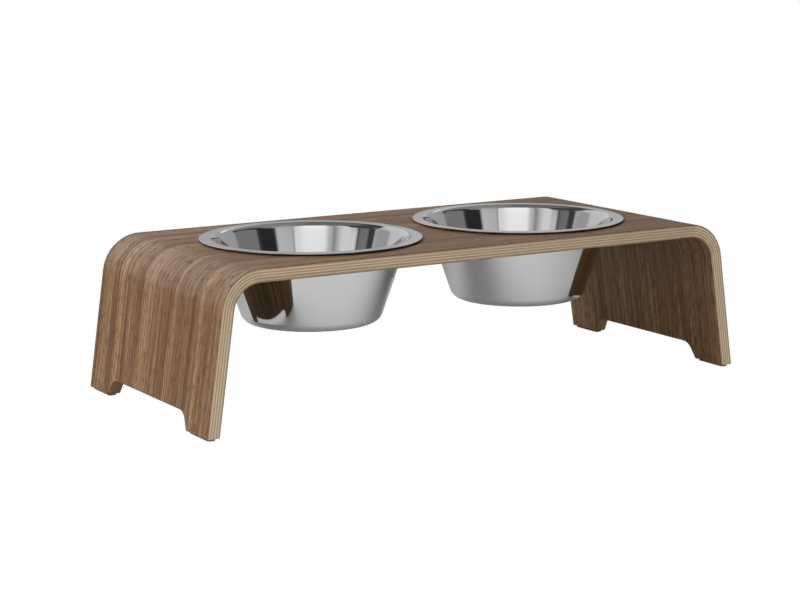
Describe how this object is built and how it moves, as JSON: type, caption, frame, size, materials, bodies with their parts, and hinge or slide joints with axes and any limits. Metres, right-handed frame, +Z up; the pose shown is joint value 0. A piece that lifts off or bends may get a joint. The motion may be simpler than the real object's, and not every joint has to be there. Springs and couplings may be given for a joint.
{
  "type": "raised dog feeder stand",
  "caption": "Low bridge-shaped feeder stand of bent plywood with walnut faces; flat-rimmed steel bowls hang in round openings in its top and lift straight out.",
  "frame": {"origin": "on the floor, under the middle of the stand", "axes": "+X along the stand towards its right leg, +Y from the front edge to the back edge, +Z up"},
  "size_m": [0.56, 0.24, 0.1433],
  "materials": {
    "walnut_veneer": "satin lacquer",
    "long_ply": "sanded edge, satin lacquer",
    "cross_ply": "sanded end grain, satin lacquer",
    "polished_steel": "polished stainless sheet",
    "ring_silicone": "matt",
    "pad_rubber": "matt"
  },
  "bodies": {
    "stand": {"outer_face_veneer": "walnut_veneer", "core_ply_1": "cross_ply", "core_ply_2": "long_ply", "core_ply_3": "cross_ply", "core_ply_4": "long_ply", "core_ply_5": "cross_ply", "core_ply_6": "long_ply", "core_ply_7": "cross_ply", "core_ply_8": "long_ply", "core_ply_9": "cross_ply", "inner_face_veneer": "walnut_veneer", "front_left_pad": "pad_rubber", "front_right_pad": "pad_rubber", "rear_left_pad": "pad_rubber", "rear_right_pad": "pad_rubber"},
    "left_ring": {"left_bowl_ring": "ring_silicone"},
    "left_bowl": {"left_bowl": "polished_steel"},
    "right_ring": {"right_bowl_ring": "ring_silicone"},
    "right_bowl": {"right_bowl": "polished_steel"}
  },
  "joints": [
    {"name": "left_bowl_turn", "type": "hinge", "parent": "stand", "child": "left_ring", "pos_m": [-0.113, 0, 0.141], "axis": [0, 0, 1], "continuous": true},
    {"name": "left_bowl_lift", "type": "slide", "parent": "left_ring", "child": "left_bowl", "axis": [0, 0, 1], "range_m": [0, 0.12]},
    {"name": "right_bowl_turn", "type": "hinge", "parent": "stand", "child": "right_ring", "pos_m": [0.113, 0, 0.141], "axis": [0, 0, 1], "continuous": true},
    {"name": "right_bowl_lift", "type": "slide", "parent": "right_ring", "child": "right_bowl", "axis": [0, 0, 1], "range_m": [0, 0.12]}
  ]
}
